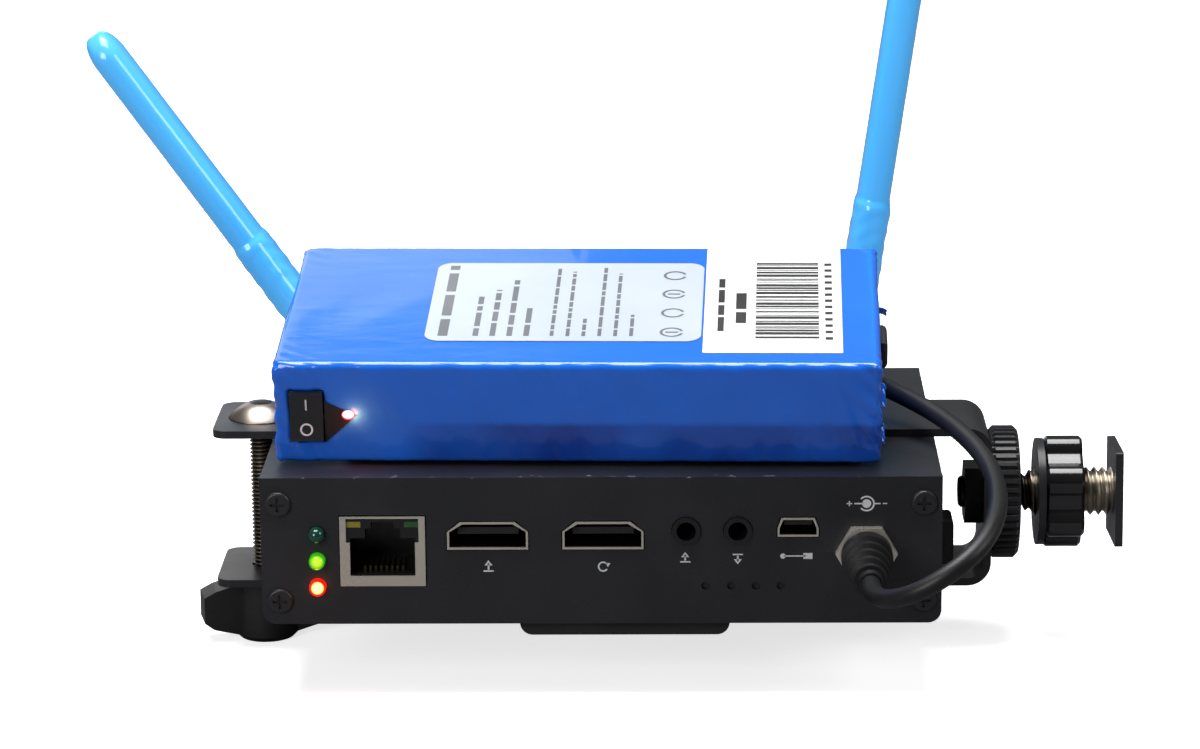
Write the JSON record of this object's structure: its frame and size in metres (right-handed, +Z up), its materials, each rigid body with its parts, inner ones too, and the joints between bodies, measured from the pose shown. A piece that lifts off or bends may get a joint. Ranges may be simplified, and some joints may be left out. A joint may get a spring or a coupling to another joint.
{
  "type": "wireless video receiver unit",
  "caption": "Flat metal wireless video and audio unit with a strapped-on battery pack, swivel antennas, a clamping strap bracket and an accessory-shoe mount.",
  "frame": {"origin": "middle of the shoe foot's outer face", "axes": "+X along the mount stem, out of the shoe foot; +Y from the socket panel to the antennas; +Z up, through the battery"},
  "size_m": [0.2074, 0.1384, 0.1284],
  "materials": {
    "black_case": "satin black anodised",
    "black_steel": "satin black coated steel",
    "rubber": "matte",
    "board_green": "solder mask",
    "chip_black": "matte moulded",
    "nickel": "plated",
    "steel": "turned",
    "brass": "plated",
    "socket_black": "moulded",
    "tongue_grey": "moulded",
    "lamp_dark_green": "clear tinted",
    "lamp_green": "clear tinted, lit",
    "lamp_yellow": "clear tinted",
    "lamp_red": "clear tinted, lit",
    "antenna_blue": "glossy film",
    "black_plastic": "moulded",
    "gloss_black": "polished moulding",
    "film_blue": "glossy shrink film",
    "cell_silver": "pouch foil",
    "label_silver": "printed film",
    "paper_white": "coated paper",
    "foam_black": "foam with hook-and-loop faces",
    "cord_black": "flexible jacket"
  },
  "bodies": {
    "mount": {"mount_stem": "steel", "jam_nut": "black_steel", "knurled_wheel": "black_steel", "shoe_foot": "black_steel"},
    "knob_flange": {"knob_disc": "black_steel"},
    "knob": {"lock_knob": "gloss_black"},
    "unit": {"case_shell": "black_case", "case_cover": "black_case", "front_panel": "black_case", "rear_panel": "black_case", "front_screws": "black_steel", "rear_screws": "black_steel", "underside_pad": "rubber", "side_bumper": "rubber", "main_board": "board_green", "board_standoffs": "brass", "board_screws": "steel", "board_chips": "chip_black", "radio_shield": "nickel", "network_shield": "nickel", "network_insert": "socket_black", "network_pins": "brass", "network_lamp_left": "lamp_yellow", "network_lamp_right": "lamp_green", "video_shells": "nickel", "video_tongues": "tongue_grey", "audio_jacks": "socket_black", "usb_shell": "nickel", "usb_tongue": "socket_black", "power_jack": "nickel", "power_nut": "nickel", "lamp_top": "lamp_dark_green", "lamp_middle": "lamp_green", "lamp_bottom": "lamp_red", "antenna_connectors": "brass", "strap_bracket": "black_steel", "carriage_bolt": "steel", "battery_wrap": "film_blue", "battery_cells": "cell_silver", "protection_board": "board_green", "switch_frame": "socket_black", "battery_lamp": "lamp_red", "battery_label": "label_silver", "code_sticker": "paper_white", "battery_pad": "foam_black", "end_pad": "rubber", "battery_lead": "cord_black", "power_plug": "cord_black"},
    "clamp_face": {"clamp_washer": "steel"},
    "clamp_nut": {"wing_nut": "black_plastic", "wing_insert": "brass"},
    "rocker": {"switch_rocker": "gloss_black"},
    "antenna_left_elbow": {"antenna_left_base": "black_plastic", "antenna_left_pin": "brass"},
    "antenna_left_paddle": {"antenna_left_blade": "antenna_blue"},
    "antenna_right_elbow": {"antenna_right_base": "black_plastic", "antenna_right_pin": "brass"},
    "antenna_right_paddle": {"antenna_right_blade": "antenna_blue"}
  },
  "joints": [
    {"name": "mount_swivel", "type": "hinge", "parent": "mount", "child": "unit", "pos_m": [-0.0262, 0, 0], "axis": [1, 0, 0], "continuous": true},
    {"name": "knob_travel", "type": "slide", "parent": "mount", "child": "knob_flange", "axis": [1, 0, 0], "range_m": [0, 0.004]},
    {"name": "knob_turn", "type": "hinge", "parent": "knob_flange", "child": "knob", "pos_m": [-0.01, 0, 0], "axis": [1, 0, 0], "range_deg": [0, 910]},
    {"name": "clamp_travel", "type": "slide", "parent": "unit", "child": "clamp_face", "axis": [0, 0, -1], "range_m": [0, 0.0024]},
    {"name": "clamp_turn", "type": "hinge", "parent": "clamp_face", "child": "clamp_nut", "pos_m": [-0.16695, 0, -0.0223], "axis": [0, 0, -1], "range_deg": [0, 1082]},
    {"name": "power_switch", "type": "hinge", "parent": "unit", "child": "rocker", "pos_m": [-0.15503, -0.02885, 0.02425], "axis": [0.9997, -0.0244, 0], "range_deg": [0, 8]},
    {"name": "antenna_left_turn", "type": "hinge", "parent": "unit", "child": "antenna_left_elbow", "pos_m": [-0.14655, 0.054, -0.0001], "axis": [0, 1, 0], "range_deg": [-54.6, 80.4]},
    {"name": "antenna_left_fold", "type": "hinge", "parent": "antenna_left_elbow", "child": "antenna_left_paddle", "pos_m": [-0.14655, 0.054, -0.0001], "axis": [-0.8151, 0, -0.5793], "range_deg": [0, 90]},
    {"name": "antenna_right_turn", "type": "hinge", "parent": "unit", "child": "antenna_right_elbow", "pos_m": [-0.05265, 0.054, -0.0001], "axis": [0, 1, 0], "range_deg": [-53.3, 81.7]},
    {"name": "antenna_right_fold", "type": "hinge", "parent": "antenna_right_elbow", "child": "antenna_right_paddle", "pos_m": [-0.05265, 0.054, -0.0001], "axis": [-0.9895, 0, 0.1444], "range_deg": [0, 90]}
  ],
  "couplings": [
    {"joint": "knob_turn", "follows": "knob_travel", "rad_per_m": 3957.9},
    {"joint": "clamp_turn", "follows": "clamp_travel", "rad_per_m": 7854}
  ]
}
